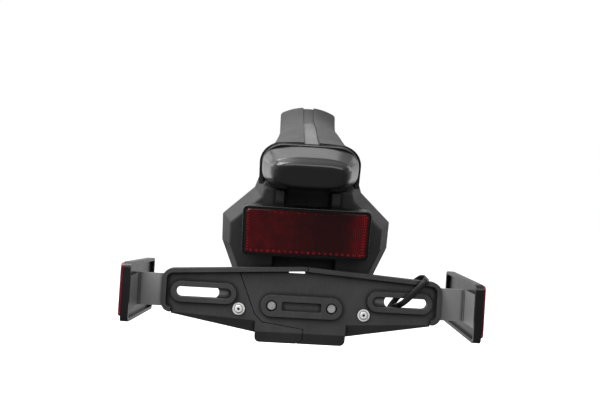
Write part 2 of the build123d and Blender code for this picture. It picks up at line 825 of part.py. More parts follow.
with BuildPart() as left_wing:
    with BuildSketch(plate_plane):
        Polygon(*seam_points, align=None)
    extrude(amount=panel_half_width / 2, both=True)
    add(bracket.part, mode=Mode.INTERSECT)
    with BuildSketch(plate_plane.offset(-panel_thickness)):
        Polygon(
            (tongue_left, panel_end_top),
            (tongue_step_x, panel_peak - lip_width / 2),
            (tongue_step_x, tongue_top),
            (tongue_right, tongue_top),
            (tongue_right, tongue_bottom),
            (tongue_foot_right, tongue_bottom),
            (tongue_foot_right, tongue_foot),
            (tongue_foot_left, tongue_foot),
            (seam_knee_x - lip_width, tongue_bottom),
            (seam_knee_x - lip_width, rivet_z + lip_width / 2),
            (seam_knee_x - 2 * lip_width, rivet_z + rivet_ear_radius),
            (tongue_left, rivet_z + 3 * lip_width),
            align=None,
        )
        with Locations((0, centre_bolt_z)):
            with GridLocations(centre_bolt_spacing, 0, 2, 1):
                Circle((stud_diameter + stud_clearance) / 2, mode=Mode.SUBTRACT)
        with Locations((slit_right + seam_gap, tongue_top)):
            tab_height = panel_peak - lip_width / 2 - tongue_top
            Rectangle(backing_width / 2, tab_height, align=(Align.MIN, Align.MIN))
    extrude(amount=-tongue_thickness)
    # Backing behind the seam in the slanted foot of the block
    with BuildSketch(Plane.YZ.offset(seam_foot_x - backing_width / 3)):
        Polygon(
            (panel_thickness, block_crease),
            (panel_thickness + block_depth, block_bottom),
            (panel_thickness + block_depth + backing_thickness, block_bottom + backing_thickness),
            (panel_thickness + backing_thickness, block_crease),
            (panel_thickness + backing_thickness, tongue_foot),
            (panel_thickness, tongue_foot),
            align=None,
        )
    extrude(amount=backing_width)

with BuildPart() as right_wing:
    add(bracket.part)
    with BuildSketch(plate_plane):
        Polygon(*seam_points, align=None)
        offset(amount=seam_gap, kind=Kind.INTERSECTION)
    extrude(amount=panel_half_width / 2, both=True, mode=Mode.SUBTRACT)
    with BuildSketch(plate_plane):
        with Locations((slit_left, slit_bottom)):
            Rectangle(slit_right - slit_left, slit_height, align=Align.MIN)
    extrude(amount=panel_half_width / 2, both=True, mode=Mode.SUBTRACT)


def strap(side):
    """Steel strap behind one half of the bracket, with a flange bent towards the viewer."""
    front = panel_thickness
    back = panel_thickness + strap_thickness
    bar_height = strap_top - strap_bottom
    with BuildPart() as bar:
        with BuildSketch(Plane.XY.offset(strap_bottom)):
            Polygon(
                (side * strap_inner, front),
                (side * (side_base_x - strap_thickness), front),
                (side * (side_base_x - strap_thickness), -flange_reach),
                (side * side_base_x, -flange_reach),
                (side * side_base_x, back),
                (side * strap_inner, back),
                align=None,
            )
        extrude(amount=bar_height)
        upright = bar.edges().filter_by(Axis.Z).sort_by(Axis.Y)
        outside = upright[-2:].sort_by(Axis.X)[-1 if side > 0 else 0]
        inside = upright[-4:-2].sort_by(Axis.X)[-1 if side > 0 else 0]
        fillet(outside, strap_bend_radius)
        fillet(inside, strap_bend_radius - strap_thickness)
        with BuildSketch(plate_plane.offset(-front)):
            with Locations((side * rivet_x, rivet_z)):
                Circle(rivet_ear_radius)
            ear_length = strap_inner - rivet_x + rivet_ear_radius
            with Locations((side * (rivet_x + ear_length / 2), rivet_z)):
                Rectangle(ear_length, 2 * rivet_ear_radius)
        extrude(amount=-strap_thickness)
        with BuildSketch(plate_plane):
            with Locations((side * (strap_slot_inner + strap_slot_outer) / 2, 0)):
                SlotOverall(strap_slot_outer - strap_slot_inner, strap_slot_width)
            with Locations((side * rivet_x, rivet_z)):
                Circle(rivet_shank_diameter / 2)
        extrude(amount=-2 * back, mode=Mode.SUBTRACT)
    return bar.part


left_strap = strap(-1)
right_strap = strap(1)

with BuildPart() as strap_rivets:
    with BuildSketch(plate_plane):
        with Locations((0, rivet_z)):
            with GridLocations(2 * rivet_x, 0, 2, 1):
                Circle(rivet_flange_diameter / 2)
    extrude(amount=rivet_flange_height)
    with BuildSketch(plate_plane):
        with Locations((0, rivet_z)):
            with GridLocations(2 * rivet_x, 0, 2, 1):
                Circle(rivet_boss_diameter / 2)
    extrude(amount=rivet_boss_height)
    rims = strap_rivets.edges().filter_by(GeomType.CIRCLE).group_by(Axis.Y)[0]
    chamfer(rims, rivet_hole_diameter / 4)
    with BuildSketch(plate_plane):
        with Locations((0, rivet_z)):
            with GridLocations(2 * rivet_x, 0, 2, 1):
                Circle(rivet_shank_diameter / 2)
    extrude(amount=-panel_thickness - strap_thickness)
    with BuildSketch(plate_plane.offset(-panel_thickness - strap_thickness)):
        with Locations((0, rivet_z)):
            with GridLocations(2 * rivet_x, 0, 2, 1):
                Circle(rivet_tail_diameter / 2)
    extrude(amount=-rivet_tail_height)
    with BuildSketch(plate_plane.offset(rivet_boss_height)):
        with Locations((0, rivet_z)):
            with GridLocations(2 * rivet_x, 0, 2, 1):
                Circle(rivet_hole_diameter / 2)
    extrude(amount=-rivet_boss_height - panel_thickness, mode=Mode.SUBTRACT)

# Centre bolts through both halves and the carrier's legs
bolt_seat = pad_height - counterbore_depth

with BuildPart() as centre_bolts:
    with BuildSketch(plate_plane.offset(bolt_seat)):
        with Locations((0, centre_bolt_z)):
            with GridLocations(centre_bolt_spacing, 0, 2, 1):
                Circle(bolt_head_diameter / 2)
    extrude(amount=bolt_head_height)
    rims = centre_bolts.edges().filter_by(GeomType.CIRCLE).group_by(Axis.Y)[0]
    fillet(rims, bolt_head_height / 2)
    with BuildSketch(plate_plane.offset(bolt_seat)):
        with Locations((0, centre_bolt_z)):
            with GridLocations(centre_bolt_spacing, 0, 2, 1):
                Circle(stud_diameter / 2)
    extrude(amount=-bolt_seat - leg_back - washer_thickness - nut_height - bolt_end)

with BuildPart() as centre_washers:
    with BuildSketch(plate_plane.offset(-leg_back)):
        with Locations((0, centre_bolt_z)):
            with GridLocations(centre_bolt_spacing, 0, 2, 1):
                Circle(washer_diameter / 2)
                Circle(stud_diameter / 2, mode=Mode.SUBTRACT)
    extrude(amount=-washer_thickness)

with BuildPart() as centre_nuts:
    with BuildSketch(plate_plane.offset(-leg_back - washer_thickness)):
        with Locations((0, centre_bolt_z)):
            with GridLocations(centre_bolt_spacing, 0, 2, 1):
                RegularPolygon(nut_across_flats / 2, 6, major_radius=False)
                Circle(stud_diameter / 2, mode=Mode.SUBTRACT)
    extrude(amount=-nut_height)


def side_plane(side, out):
    """Plane of one side reflector, a distance outwards from the strap's flange."""
    pitch = radians(right_pitch if side > 0 else left_pitch)
    origin = (side * (side_base_x + out), side_centre_y, side_centre_z)
    return Plane(origin=origin, x_dir=(0, side * cos(pitch), side * sin(pitch)), z_dir=(side, 0, 0))


def side_base(side):
    """Black base of one side reflector, with a rim round its back."""
    with BuildPart() as base:
        with BuildSketch(side_plane(side, 0)):
            RectangleRounded(side_base_length, side_base_height, reflector_corner)
        extrude(amount=side_base_thickness)
        with BuildSketch(side_plane(side, 0)):
            RectangleRounded(side_base_length, side_base_height, reflector_corner)
            RectangleRounded(
                side_base_length - 2 * side_rim_width,
                side_base_height - 2 * side_rim_width,
                reflector_corner - side_rim_width / 2,
                mode=Mode.SUBTRACT,
            )
        extrude(amount=-side_rim_height)
    return base.part


def side_lens(side):
    """Red lens of one side reflector."""
    with BuildPart() as lens:
        with BuildSketch(side_plane(side, side_base_thickness)):
            with Locations((0, side_lens_rise)):
                RectangleRounded(side_lens_length, side_lens_height, reflector_corner)
        extrude(amount=side_lens_thickness)
    return lens.part


left_reflector_base = side_base(-1)
right_reflector_base = side_base(1)
left_reflector_lens = side_lens(-1)
right_reflector_lens = side_lens(1)

nodes = {
    "tail_arm": tail_arm.part,
    "tail_inserts": tail_inserts.part,
    "plate_carrier": plate_carrier.part,
    "carrier_screws": carrier_screws.part,
    "lamp_gasket": lamp_gasket.part,
    "lamp_housing": lamp_housing.part,
    "lamp_lens": lamp_lens.part,
    "lamp_board": lamp_board.part,
    "lamp_chips": lamp_chips.part,
    "lamp_studs": lamp_studs.part,
    "lamp_nuts": lamp_nuts.part,
    "lamp_grommet": lamp_grommet.part,
    "rear_reflector_base": rear_reflector_base.part,
    "rear_reflector_lens": rear_reflector_lens.part,
    "rear_reflector_stud": rear_reflector_stud.part,
    "rear_reflector_nut": rear_reflector_nut.part,
    "left_wing": left_wing.part,
    "right_wing": right_wing.part,
    "left_strap": left_strap,
    "right_strap": right_strap,
    "strap_rivets": strap_rivets.part,
    "centre_bolts": centre_bolts.part,
    "centre_washers": centre_washers.part,
    "centre_nuts": centre_nuts.part,
    "left_reflector_base": left_reflector_base,
    "left_reflector_lens": left_reflector_lens,
    "right_reflector_base": right_reflector_base,
    "right_reflector_lens": right_reflector_lens,
}

os.makedirs("parts", exist_ok=True)
for label, node in nodes.items():
    node.label = label
    export_step(node, f"parts/{label}.step")
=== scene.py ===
import math

import bmesh
import bpy
from mathutils import Matrix, Vector


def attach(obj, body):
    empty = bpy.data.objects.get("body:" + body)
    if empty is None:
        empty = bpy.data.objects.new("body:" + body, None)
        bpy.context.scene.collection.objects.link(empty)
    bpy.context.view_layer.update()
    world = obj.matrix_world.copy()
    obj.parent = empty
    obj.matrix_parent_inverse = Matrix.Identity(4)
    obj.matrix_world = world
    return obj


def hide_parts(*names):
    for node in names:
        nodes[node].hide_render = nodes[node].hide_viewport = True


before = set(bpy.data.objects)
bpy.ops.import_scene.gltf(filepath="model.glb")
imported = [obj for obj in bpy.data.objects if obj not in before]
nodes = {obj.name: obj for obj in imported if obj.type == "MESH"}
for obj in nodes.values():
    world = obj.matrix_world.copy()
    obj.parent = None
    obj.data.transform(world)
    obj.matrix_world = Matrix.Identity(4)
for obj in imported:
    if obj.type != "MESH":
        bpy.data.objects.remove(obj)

MM = 0.001
X, Y = Vector((1, 0, 0)), Vector((0, 1, 0))
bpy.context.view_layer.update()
scene = bpy.context.scene
scene.view_settings.view_transform = "Standard"


# Short calls for shader nodes

class Nodes:
    """One node tree."""

    def __init__(self, tree):
        self.tree = tree

    def node(self, kind, **values):
        made = self.tree.nodes.new(kind)
        for key, value in values.items():
            setattr(made, key, value)
        return made

    def join(self, source, target):
        self.tree.links.new(source, target)

    def feed(self, socket, value):
        """Gives a socket a constant, or another node's output."""
        if isinstance(value, (int, float)):
            socket.default_value = value
        else:
            self.join(value, socket)

    def parts(self, vector):
        made = self.node("ShaderNodeSeparateXYZ")
        self.join(vector, made.inputs["Vector"])
        return made.outputs["X"], made.outputs["Y"], made.outputs["Z"]

    def span(self, value, low, high, start=0.3, end=0.7):
        """Maps the range from start to end onto the range from low to high."""
        made = self.node("ShaderNodeMapRange")
        limits = {"From Min": start, "From Max": end, "To Min": low, "To Max": high}
        for socket, limit in limits.items():
            made.inputs[socket].default_value = limit
        self.join(value, made.inputs["Value"])
        return made.outputs["Result"]

    def math(self, operation, a, b=0.0):
        made = self.node("ShaderNodeMath", operation=operation)
        self.feed(made.inputs[0], a)
        self.feed(made.inputs[1], b)
        return made.outputs["Value"]

    def ramp(self, value, stops):
        """Blends between stops, each a position and a colour or a level of grey."""
        made = self.node("ShaderNodeValToRGB")
        elements = made.color_ramp.elements
        while len(elements) < len(stops):
            elements.new(0.5)
        for element, (position, colour) in zip(elements, stops):
            element.position = position
            element.color = (*(colour if isinstance(colour, tuple) else 3 * (colour,)), 1.0)
        self.join(value, made.inputs["Fac"])
        return made.outputs["Color"]

    def mix(self, factor, a, b, blend_type="MIX"):
        made = self.node("ShaderNodeMix", data_type="RGBA", blend_type=blend_type)
        self.feed(made.inputs["Factor"], factor)
        self.join(a, made.inputs["A"])
        self.join(b, made.inputs["B"])
        return made.outputs["Result"]


class Shader(Nodes):
    """A material with a Principled shader, and calls for what feeds it."""

    def __init__(self, name, **sockets):
        self.material = bpy.data.materials.new(name)
        self.material.use_nodes = True
        super().__init__(self.material.node_tree)
        self.bsdf = self.tree.nodes["Principled BSDF"]
        self.place = self.node("ShaderNodeTexCoord").outputs["Object"]
        for socket, value in sockets.items():
            self.bsdf.inputs[socket.replace("_", " ")].default_value = value

    def noise(self, scale, detail=2.0, roughness=0.5, place=None):
        made = self.node("ShaderNodeTexNoise")
        made.inputs["Scale"].default_value = scale
        made.inputs["Detail"].default_value = detail
        made.inputs["Roughness"].default_value = roughness
        self.join(place or self.place, made.inputs["Vector"])
        return made.outputs["Fac"]

    def painted_corner_shade(self, colour, reach, depth):
        """Paints shade into a colour: darkens it in narrow corners, where little light gets in."""
        corner = self.node("ShaderNodeAmbientOcclusion", samples=8)
        corner.inputs["Distance"].default_value = reach
        shade = self.span(corner.outputs["AO"], 1.0 - depth, 1.0, CORNER_CLOSED, CORNER_OPEN)
        return self.mix(1.0, colour, shade, "MULTIPLY")

    def colour(self, value):
        self.join(value, self.bsdf.inputs["Base Color"])

    def rough(self, value):
        self.join(value, self.bsdf.inputs["Roughness"])

    def bump(self, height, strength, distance, soft_edge=0.0):
        made = self.node("ShaderNodeBump")
        made.inputs["Strength"].default_value = strength
        made.inputs["Distance"].default_value = distance
        self.join(height, made.inputs["Height"])
        self.join(made.outputs["Normal"], self.bsdf.inputs["Normal"])
        if soft_edge:
            soft = self.node("ShaderNodeBevel", samples=12)
            soft.inputs["Radius"].default_value = soft_edge
            self.join(soft.outputs["Normal"], made.inputs["Normal"])


# Materials

# Painted corner shade: the occlusion levels it fades between, and how far it reaches
CORNER_CLOSED, CORNER_OPEN = 0.66, 0.96
CORNER_SHADE_REACH = 3.6 * MM
SOFT_EDGE = 0.5 * MM
PLASTIC_IOR, LAMP_IOR, REFLECTOR_IOR = 1.47, 1.59, 1.42
GRAIN = 2600.0
GRAIN_STRENGTH = 0.12
GRAIN_DEPTH = 0.3 * MM
FINE_DEPTH = 0.2 * MM
STREAK_STRETCH = (1.0, 1.0, 0.12)
STREAK_SHARE = 0.12


def moulded(name, dark, light, smooth, coarse, grain=GRAIN, strength=GRAIN_STRENGTH, ior=PLASTIC_IOR,
            soft_edge=0.0):
    """Moulded plastic: a fine spark-eroded grain, uneven gloss, faint streaks and cloudiness, with painted
    shade darkening its colour in narrow corners.
    """
    made = Shader(name, IOR=ior)
    stretch = made.node("ShaderNodeMapping")
    stretch.inputs["Scale"].default_value = STREAK_STRETCH
    made.join(made.place, stretch.inputs["Vector"])
    streaks = made.span(made.noise(900.0, 3.0, 0.6, stretch.outputs["Vector"]), -STREAK_SHARE, STREAK_SHARE)
    patches = made.math("ADD", made.noise(38.0, 3.0), streaks)
    cloud = made.ramp(patches, [(0.2, dark), (0.8, light)])
    # Painted shade: the colour is darkened in narrow corners
    made.colour(made.painted_corner_shade(cloud, CORNER_SHADE_REACH, 0.92))
    made.rough(made.span(made.noise(70.0, 4.0, 0.6), smooth, coarse))
    made.bump(made.noise(grain, 2.0, 0.6), strength, GRAIN_DEPTH, soft_edge)
    return made.material


GROOVE_HALF = 4.6 * MM
GROOVE_END = 95.0 * MM
GROOVE_FADE = 40.0 * MM


def grooved(name, dark, light, groove_sheen, smooth, coarse, polish):
    """Moulded plastic of the arm, smoother on the floor of the groove along its crown, where a painted
    sheen makes it lighter; painted shade darkens narrow corners.
    """
    made = Shader(name, IOR=PLASTIC_IOR)
    across, along, _ = made.parts(made.place)
    floor = made.span(made.math("ABSOLUTE", across), 1.0, 0.0, 0.98 * GROOVE_HALF, GROOVE_HALF)
    near = made.span(along, 1.0, 0.0, GROOVE_END - GROOVE_FADE, GROOVE_END)
    floor = made.math("MULTIPLY", floor, near)
    patches = made.math("ADD", made.noise(38.0, 3.0), floor)
    # Painted sheen: the floor of the groove is painted lighter
    shade = made.ramp(patches, [(0.3, dark), (0.7, light), (0.8, light), (1.0, groove_sheen)])
    # Painted shade: the colour is darkened in narrow corners
    made.colour(made.painted_corner_shade(shade, CORNER_SHADE_REACH, 0.45))
    gloss = made.span(made.noise(70.0, 4.0, 0.6), smooth, coarse)
    made.rough(made.math("SUBTRACT", gloss, made.math("MULTIPLY", floor, polish)))
    made.bump(made.noise(GRAIN, 2.0, 0.6), GRAIN_STRENGTH, GRAIN_DEPTH)
    return made.material


def metal(name, dark, light, smooth, coarse, metallic=1.0):
    """Plated or coated metal with fine pitting and cloudy plating, with painted shade darkening its colour
    in narrow corners.
    """
    made = Shader(name, Metallic=metallic)
    cloud = made.ramp(made.noise(220.0, 4.0, 0.6), [(0.3, dark), (0.7, light)])
    # Painted shade: the colour is darkened in narrow corners
    made.colour(made.painted_corner_shade(cloud, 0.4 * CORNER_SHADE_REACH, 0.9))
    made.rough(made.span(made.noise(400.0, 3.0), smooth, coarse))
    made.bump(made.noise(1800.0, 2.0), 0.08, FINE_DEPTH)
    return made.material


# Middle and half width of each row of painted glints on the prisms, and the painted glow across the lens
FOOT_ROW, HEAD_ROW = (0.055, 0.036), (0.955, 0.030)
LEFT_COLUMN, RIGHT_COLUMN, FINE_COLUMNS = (0.018, 0.010), (0.975, 0.022), (0.93, 0.08)
PAINTED_GLOW = [(0.0, 0.16), (0.25, 0.13), (0.45, 0.07), (0.6, 0.03), (0.8, 0.04), (0.92, 0.13), (1.0, 0.14)]


def reflector_red(name, columns, rows, dark, light):
    """Dark red prismatic plastic with painted glints, rows of bright dots where the outermost prisms catch
    the light, and a painted glow lighter towards the ends.
    """
    made = Shader(name, IOR=REFLECTOR_IOR)
    across, up, _ = made.parts(made.node("ShaderNodeTexCoord").outputs["UV"])

    def dots(value, count):
        wave = made.math("COSINE", made.math("MULTIPLY", value, 2 * math.pi * count))
        return made.span(wave, 0.0, 1.0, 0.0, 0.9)

    def band(value, middle, half):
        distance = made.math("ABSOLUTE", made.math("SUBTRACT", value, middle))
        return made.span(distance, 1.0, 0.0, 0.3 * half, half)

    foot = made.math("MULTIPLY", dots(across, columns), band(up, *FOOT_ROW))
    head = made.math("MULTIPLY", dots(across, columns), band(up, *HEAD_ROW))
    head = made.math("MULTIPLY", head, made.span(made.noise(90.0), 0.0, 0.6, 0.45, 0.65))
    left = made.math("MULTIPLY", dots(up, rows), band(across, *LEFT_COLUMN))
    right = made.math("MULTIPLY", dots(up, rows), band(across, *RIGHT_COLUMN))
    fine = made.math("MULTIPLY", dots(across, 3.0 * columns), band(across, *FINE_COLUMNS))
    fine = made.math("MULTIPLY", fine, made.span(made.noise(260.0), 0.1, 0.5))
    # Painted glints: bright dots where the prisms catch the light
    painted_glints = made.math("ADD", made.math("ADD", foot, head), made.math("ADD", left, right))
    painted_glints = made.math("MULTIPLY", painted_glints, made.span(made.noise(200.0), 0.35, 0.95))
    painted_glints = made.math("ADD", painted_glints, fine)
    mottle = made.span(made.noise(150.0, 4.0, 0.6), 0.5, 1.5)
    # Painted glow, lighter towards the ends of the lens
    mottle = made.math("MULTIPLY", made.ramp(across, PAINTED_GLOW), mottle)
    share = made.math("MINIMUM", made.math("ADD", painted_glints, mottle), 1.0)
    made.colour(made.ramp(share, [(0.0, dark), (1.0, light)]))
    made.rough(made.span(made.noise(300.0), 0.16, 0.26))
    made.bump(made.noise(700.0), 0.05, FINE_DEPTH)
    return made.material


plastic = moulded(
    "black_moulding", (0.026, 0.026, 0.027), (0.046, 0.046, 0.048), 0.46, 0.62, soft_edge=SOFT_EDGE
)
carrier_plastic = moulded(
    "carrier_moulding", (0.021, 0.021, 0.022), (0.038, 0.038, 0.040), 0.50, 0.64, soft_edge=SOFT_EDGE
)
arm_plastic = grooved(
    "arm_moulding", (0.022, 0.022, 0.023), (0.030, 0.030, 0.031), (0.085, 0.084, 0.086), 0.52, 0.64, 0.24
)
base_plastic = moulded(
    "gloss_moulding", (0.005, 0.005, 0.006), (0.008, 0.008, 0.009), 0.22, 0.30, 1500.0, 0.04
)
pod = moulded(
    "smoked_pod", (0.010, 0.010, 0.011), (0.015, 0.015, 0.016), 0.23, 0.27, GRAIN, 0.006, LAMP_IOR
)
rubber = moulded("rubber", (0.008, 0.008, 0.008), (0.013, 0.013, 0.013), 0.7, 0.85, 1200.0, 0.2)
paint = moulded("strap_paint", (0.195, 0.194, 0.197), (0.240, 0.239, 0.242), 0.42, 0.52, 2200.0, 0.10)
tie_nylon = moulded("tie_nylon", (0.007, 0.007, 0.008), (0.012, 0.012, 0.013), 0.32, 0.42, 1600.0, 0.08)
zinc = metal("zinc_plate", (0.80, 0.79, 0.78), (0.95, 0.94, 0.93), 0.45, 0.60, 0.3)
grey_bolt = metal("bolt_coating", (0.31, 0.31, 0.315), (0.43, 0.43, 0.435), 0.40, 0.55, 0.2)
brass = metal("brass_insert", (0.55, 0.38, 0.14), (0.70, 0.50, 0.20), 0.25, 0.4)
board = moulded("board_resin", (0.010, 0.050, 0.022), (0.016, 0.075, 0.032), 0.35, 0.5)
chips = moulded("chip_resin", (0.62, 0.55, 0.25), (0.78, 0.72, 0.42), 0.2, 0.35)
# Painted light: the side lenses use a lit copy of the red, lighter as if lit through their edges, and the
# rear lens a shaded copy, darker as if in the pod's shade
shaded_rear_red = reflector_red("shaded_rear_red", 21.0, 15.0, (0.014, 0.0004, 0.0012), (0.34, 0.006, 0.012))
lit_side_red = reflector_red("lit_side_red", 20.0, 17.0, (0.032, 0.002, 0.005), (0.52, 0.030, 0.080))

finishes = {
    arm_plastic: ["tail_arm"],
    plastic: ["left_wing", "right_wing", "lamp_housing"],
    carrier_plastic: ["plate_carrier"],
    base_plastic: ["rear_reflector_base", "left_reflector_base", "right_reflector_base"],
    pod: ["lamp_lens"],
    rubber: ["lamp_gasket", "lamp_grommet"],
    paint: ["left_strap", "right_strap"],
    zinc: [
        "strap_rivets", "carrier_screws", "lamp_studs", "lamp_nuts", "rear_reflector_stud",
        "rear_reflector_nut", "centre_washers", "centre_nuts",
    ],
    grey_bolt: ["centre_bolts"],
    brass: ["tail_inserts"],
    board: ["lamp_board"],
    chips: ["lamp_chips"],
    shaded_rear_red: ["rear_reflector_lens"],
    lit_side_red: ["left_reflector_lens", "right_reflector_lens"],
}
for finish, names in finishes.items():
    for name in names:
        nodes[name].data.materials.clear()
        nodes[name].data.materials.append(finish)


# Forms that the pieces share

def new_piece(name, form, material):
    mesh = bpy.data.meshes.new(name)
    bmesh.ops.recalc_face_normals(form, faces=form.faces)
    form.to_mesh(mesh)
    form.free()
    piece = bpy.data.objects.new(name, mesh)
    scene.collection.objects.link(piece)
    mesh.materials.append(material)
    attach(piece, "root")
    return piece


def join_rings(form, ring, following):
    for i in range(len(ring)):
        j = (i + 1) % len(ring)
        form.faces.new((ring[i], ring[j], following[j], following[i]))


def spline(p0, p1, p2, p3, t):
    """Point on a smooth curve from p1 to p2, given the points before and after."""
    square = 2 * p0 - 5 * p1 + 4 * p2 - p3
    cube = 3 * p1 - p0 - 3 * p2 + p3
    return 0.5 * (2 * p1 + (p2 - p0) * t + square * t**2 + cube * t**3)


def tilted_up(degrees):
    turn = math.radians(degrees)
    return Vector((0, -math.sin(turn), math.cos(turn)))


# Reflector lenses: a bevelled slab with a field of small prisms

REAR_TILT = 16.0
LEFT_PITCH, RIGHT_PITCH = -3.0, 0.5
PRISM = 2.1 * MM
PRISM_RISE = 0.10 * MM
EDGE = 0.5 * MM
CORNER = 2.8 * MM
LEAST_CORNER = 0.4 * MM
ARC = 6


def prism_lens(name, node, material, across, up):
    """Stands for a lens node: its slab, with a bevelled border and prisms on the face."""
    out = across.cross(up)
    points = [v.co for v in nodes[node].data.vertices]
    spans = []
    for axis in (across, up, out):
        reach = [p.dot(axis) for p in points]
        spans.append((min(reach), max(reach)))
    (left, right), (low, high), (back, front) = spans
    middle_a, middle_u = (left + right) / 2, (low + high) / 2
    half_a, half_u = (right - left) / 2, (high - low) / 2

    def at(a, u, depth):
        return across * (middle_a + a) + up * (middle_u + u) + out * depth

    form = bmesh.new()
    uv = form.loops.layers.uv.new("UVMap")

    def ring(inset, depth):
        made = []
        radius = max(CORNER - inset, LEAST_CORNER)
        for corner, (sa, su) in enumerate(((1, 1), (-1, 1), (-1, -1), (1, -1))):
            for step in range(ARC + 1):
                turn = math.radians(90.0 * (corner + step / ARC))
                a = sa * (half_a - inset - radius) + radius * math.cos(turn)
                u = su * (half_u - inset - radius) + radius * math.sin(turn)
                made.append(form.verts.new(at(a, u, depth)))
        return made

    face = front - PRISM_RISE
    loops = [ring(0, back), ring(0, face - EDGE), ring(EDGE, face)]
    form.faces.new(loops[0])
    for outer, inner in zip(loops, loops[1:]):
        join_rings(form, outer, inner)
    columns = int((2 * half_a - 3 * EDGE) / PRISM)
    rows = int((2 * half_u - 3 * EDGE) / PRISM)
    field_a, field_u = columns * PRISM / 2, rows * PRISM / 2
    lattice = [
        [form.verts.new(at(-field_a + c * PRISM, -field_u + r * PRISM, face)) for c in range(columns + 1)]
        for r in range(rows + 1)
    ]
    for r in range(rows):
        for c in range(columns):
            apex = form.verts.new(at(-field_a + (c + 0.5) * PRISM, -field_u + (r + 0.5) * PRISM, front))
            cell = (lattice[r][c], lattice[r][c + 1], lattice[r + 1][c + 1], lattice[r + 1][c])
            for i in range(4):
                form.faces.new((cell[i], cell[(i + 1) % 4], apex))
    # Flat border between the bevel and the prisms
    border = [e for e in form.edges if len(e.link_faces) == 1]
    bmesh.ops.bridge_loops(form, edges=border)
    for polygon in form.faces:
        for loop in polygon.loops:
            a, u = loop.vert.co.dot(across) - middle_a, loop.vert.co.dot(up) - middle_u
            loop[uv].uv = (0.5 + a / (2 * half_a), 0.5 + u / (2 * half_u))
    piece = new_piece(name, form, material)
    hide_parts(node)


def pitched(degrees, sign):
    """The long way and the upward way of a side lens."""
    turn = math.radians(degrees)
    return Vector((0, sign * math.cos(turn), sign * math.sin(turn))), tilted_up(degrees)


prism_lens("rear_prisms", "rear_reflector_lens", shaded_rear_red, X, tilted_up(REAR_TILT))
prism_lens("left_prisms", "left_reflector_lens", lit_side_red, *pitched(LEFT_PITCH, -1))
prism_lens("right_prisms", "right_reflector_lens", lit_side_red, *pitched(RIGHT_PITCH, 1))


# Lamp pod: smooth rings from its seat to the window

LAMP_TILT = 25.0
POD_POINTS = 112
POD_STEPS = 4
# Half length, top, bottom, depth, squareness and narrowing at the foot of each ring
pod_rings = [
    (34.5, 16.5, -16.5, 0.0, 3.3, 0.04),
    (34.3, 16.3, -15.9, 2.5, 3.15, 0.05),
    (33.2, 16.1, -14.9, 5.5, 3.05, 0.07),
    (31.9, 15.9, -13.6, 8.7, 3.0, 0.09),
    (30.6, 15.7, -12.2, 11.9, 3.0, 0.11),
    (29.5, 15.52, -10.9, 14.7, 3.05, 0.13),
    (28.6, 15.36, -9.6, 16.9, 3.15, 0.15),
    (28.1, 15.15, -8.8, 18.0, 3.3, 0.16),
    (27.75, 14.7, -8.2, 18.7, 3.4, 0.16),
    (27.25, 14.35, -7.4, 19.6, 3.5, 0.16),
    (26.4, 13.95, -6.4, 20.9, 3.6, 0.16),
    (25.45, 13.5, -5.5, 22.1, 3.7, 0.16),
    (24.4, 12.95, -4.8, 23.1, 3.7, 0.16),
    (22.9, 12.0, -3.8, 23.95, 3.7, 0.16),
    (21.2, 10.8, -2.9, 24.4, 3.7, 0.16),
    (19.0, 9.3, -1.9, 24.5, 3.7, 0.16),
    (12.0, 7.6, 0.4, 24.5, 3.7, 0.16),
    (6.0, 5.8, 2.2, 24.5, 3.7, 0.16),
]


def pod_ring(length, head, foot, power, narrowing):
    """One closed outline, rounder at its ends than a rounded rectangle and narrower at its foot."""
    rise, middle = (head - foot) / 2, (head + foot) / 2
    made = []
    for step in range(POD_POINTS):
        turn = 2 * math.pi * step / POD_POINTS
        way = Vector((length * math.cos(turn), rise * math.sin(turn)))
        way /= (abs(way.x / length) ** power + abs(way.y / rise) ** power) ** (1 / power)
        below = max(0.0, -way.y / rise)
        made.append((way.x * (1 - narrowing * below**2), middle + way.y))
    return made


def smooth_pod():
    """Stands for the lamp lens, with the root of its visor blended into the flanks."""
    tilt = tilted_up(LAMP_TILT)
    out = X.cross(tilt)
    points = [v.co for v in nodes["lamp_lens"].data.vertices]
    back = min(p.dot(out) for p in points)
    reach = [p.dot(tilt) for p in points]
    middle = (max(reach) + min(reach)) / 2
    last = len(pod_rings) - 1
    levels = []
    for i in range(last):
        ends = [pod_rings[max(0, min(last, i + k))] for k in (-1, 0, 1, 2)]
        for step in range(POD_STEPS):
            levels.append([spline(*values, step / POD_STEPS) for values in zip(*ends)])
    levels.append(pod_rings[last])
    form = bmesh.new()
    rings = []
    for length, head, foot, depth, power, narrowing in levels:
        seat = tilt * middle + out * (back + depth * MM)
        outline = pod_ring(length, head, foot, power, narrowing)
        rings.append([form.verts.new(seat + X * u * MM + tilt * v * MM) for u, v in outline])
    for ring, following in zip(rings, rings[1:]):
        join_rings(form, ring, following)
    form.faces.new(rings[-1])
    form.faces.new(rings[0])
    piece = new_piece("smooth_pod", form, pod)
    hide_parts("lamp_lens")
    for polygon in piece.data.polygons:
        polygon.use_smooth = len(polygon.vertices) == 4


smooth_pod()


# Cable tie looped through the right slot and over the lip

TIE_WIDTH, TIE_THICKNESS = 4.4 * MM, 1.2 * MM
TIE_STEPS = 8
tie_foot, tie_head = Vector((73.0, 0, -2.0)), Vector((91.0, 0, 18.6))
# Share of the way from foot to head, depth, and sideways shift of each point
tie_route = [
    (0.08, -1.8, 0.0), (0.22, -4.6, 0.0), (0.5, -6.0, 0.0), (0.90, -6.2, 0.0), (1.02, -4.4, 0.0),
    (1.06, 0.0, 0.0), (1.04, 4.6, 0.4), (0.92, 8.4, 1.4), (0.45, 11.4, 2.8), (0.02, 12.0, 2.4),
    (-0.22, 11.4, 1.6), (-0.26, 9.0, 0.8), (-0.07, 5.8, 0.2), (0.0, 1.8, 0.0),
]
